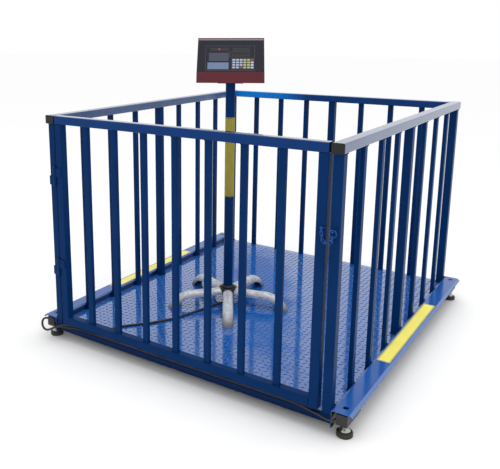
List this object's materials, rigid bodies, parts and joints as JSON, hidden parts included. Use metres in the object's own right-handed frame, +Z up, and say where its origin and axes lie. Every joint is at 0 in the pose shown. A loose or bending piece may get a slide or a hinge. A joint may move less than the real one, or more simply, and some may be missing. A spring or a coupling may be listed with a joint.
{
  "type": "livestock weighing crate",
  "caption": "Barred livestock weighing crate: checker plate platform on load cells, hinged front gate with latch chain, and an indicator on a pole stand with arched legs.",
  "frame": {"origin": "on the floor under the middle of the object's box, without its cables", "axes": "+X to the latch side as seen from the front, +Y from the gate to the back, +Z up"},
  "size_m": [1.664, 1.7811, 1.517],
  "materials": {
    "tube_paint": "gloss enamel over steel tube",
    "plate_paint": "gloss enamel over steel plate",
    "cell_steel": "black enamel over alloy steel",
    "dark_steel": "black oxide",
    "bright_steel": "zinc plated",
    "pad_rubber": "moulded",
    "box_grey": "moulded",
    "board_green": "solder mask",
    "black_plastic": "moulded",
    "leg_silver": "silver paint over pressed steel",
    "case_maroon": "moulded",
    "face_charcoal": "printed overlay",
    "display_dark": "smoked",
    "lcd_blue": "clear",
    "keypad_membrane": "printed membrane",
    "battery_grey": "moulded",
    "cable_black": "smooth jacket",
    "lead_brown": "smooth jacket"
  },
  "bodies": {
    "crate": {"deck_plate": "plate_paint", "deck_ribs": "plate_paint", "left_wing": "plate_paint", "right_wing": "plate_paint", "cell_mount_plates": "plate_paint", "load_cell_front_left": "cell_steel", "load_cell_front_right": "cell_steel", "load_cell_rear_left": "cell_steel", "load_cell_rear_right": "cell_steel", "cell_bolts": "dark_steel", "hinge_pins": "dark_steel", "lock_nuts": "bright_steel", "foot_cups": "bright_steel", "foot_pads": "pad_rubber", "junction_box": "box_grey", "junction_box_lid": "box_grey", "summing_board": "board_green", "cable_glands": "black_plastic", "rail_end_plugs": "black_plastic", "stand_hub": "black_plastic", "left_top_rail": "tube_paint", "right_top_rail": "tube_paint", "rear_top_rail": "tube_paint", "front_left_post": "tube_paint", "front_right_post": "tube_paint", "rear_left_post": "tube_paint", "rear_right_post": "tube_paint", "left_mid_post": "tube_paint", "right_mid_post": "tube_paint", "rear_mid_post": "tube_paint", "left_bars": "tube_paint", "right_bars": "tube_paint", "rear_bars": "tube_paint", "post_hinge_knuckles": "tube_paint", "latch_peg": "tube_paint", "stand_legs": "leg_silver", "signal_cable": "cable_black", "cell_lead": "lead_brown"},
    "gate": {"gate_hinge_stile": "tube_paint", "gate_latch_stile": "tube_paint", "gate_top_rail": "tube_paint", "gate_bottom_rail": "tube_paint", "gate_bars": "tube_paint", "gate_hinge_knuckles": "tube_paint", "latch_staple": "tube_paint"},
    "chain": {"latch_chain": "tube_paint"},
    "indicator": {"pole": "tube_paint", "pole_top_plate": "tube_paint", "indicator_case": "case_maroon", "indicator_back_cover": "case_maroon", "indicator_face": "face_charcoal", "display_window": "display_dark", "lcd_window": "lcd_blue", "keypad": "keypad_membrane", "main_board": "board_green", "backup_battery": "battery_grey"},
    "foot_front_left": {"foot_stem_front_left": "bright_steel"},
    "foot_front_right": {"foot_stem_front_right": "bright_steel"},
    "foot_rear_left": {"foot_stem_rear_left": "bright_steel"},
    "foot_rear_right": {"foot_stem_rear_right": "bright_steel"}
  },
  "joints": [
    {"name": "gate_swing", "type": "hinge", "parent": "crate", "child": "gate", "pos_m": [-0.702, -0.867, 0.6], "axis": [0, 0, -1], "range_deg": [0, 165]},
    {"name": "chain_swing", "type": "hinge", "parent": "gate", "child": "chain", "pos_m": [0.68, -0.876, 0.843], "axis": [-1, 0, 0], "range_deg": [0, 60]},
    {"name": "indicator_turn", "type": "hinge", "parent": "crate", "child": "indicator", "pos_m": [-0.165, -0.12, 0.7], "axis": [0, 0, 1], "range_deg": [-90, 90]},
    {"name": "foot_front_left_turn", "type": "hinge", "parent": "crate", "child": "foot_front_left", "pos_m": [-0.789, -0.816, 0.06], "axis": [0, 0, 1], "continuous": true},
    {"name": "foot_front_right_turn", "type": "hinge", "parent": "crate", "child": "foot_front_right", "pos_m": [0.789, -0.816, 0.06], "axis": [0, 0, 1], "continuous": true},
    {"name": "foot_rear_left_turn", "type": "hinge", "parent": "crate", "child": "foot_rear_left", "pos_m": [-0.789, 0.836, 0.06], "axis": [0, 0, 1], "continuous": true},
    {"name": "foot_rear_right_turn", "type": "hinge", "parent": "crate", "child": "foot_rear_right", "pos_m": [0.789, 0.836, 0.06], "axis": [0, 0, 1], "continuous": true}
  ]
}
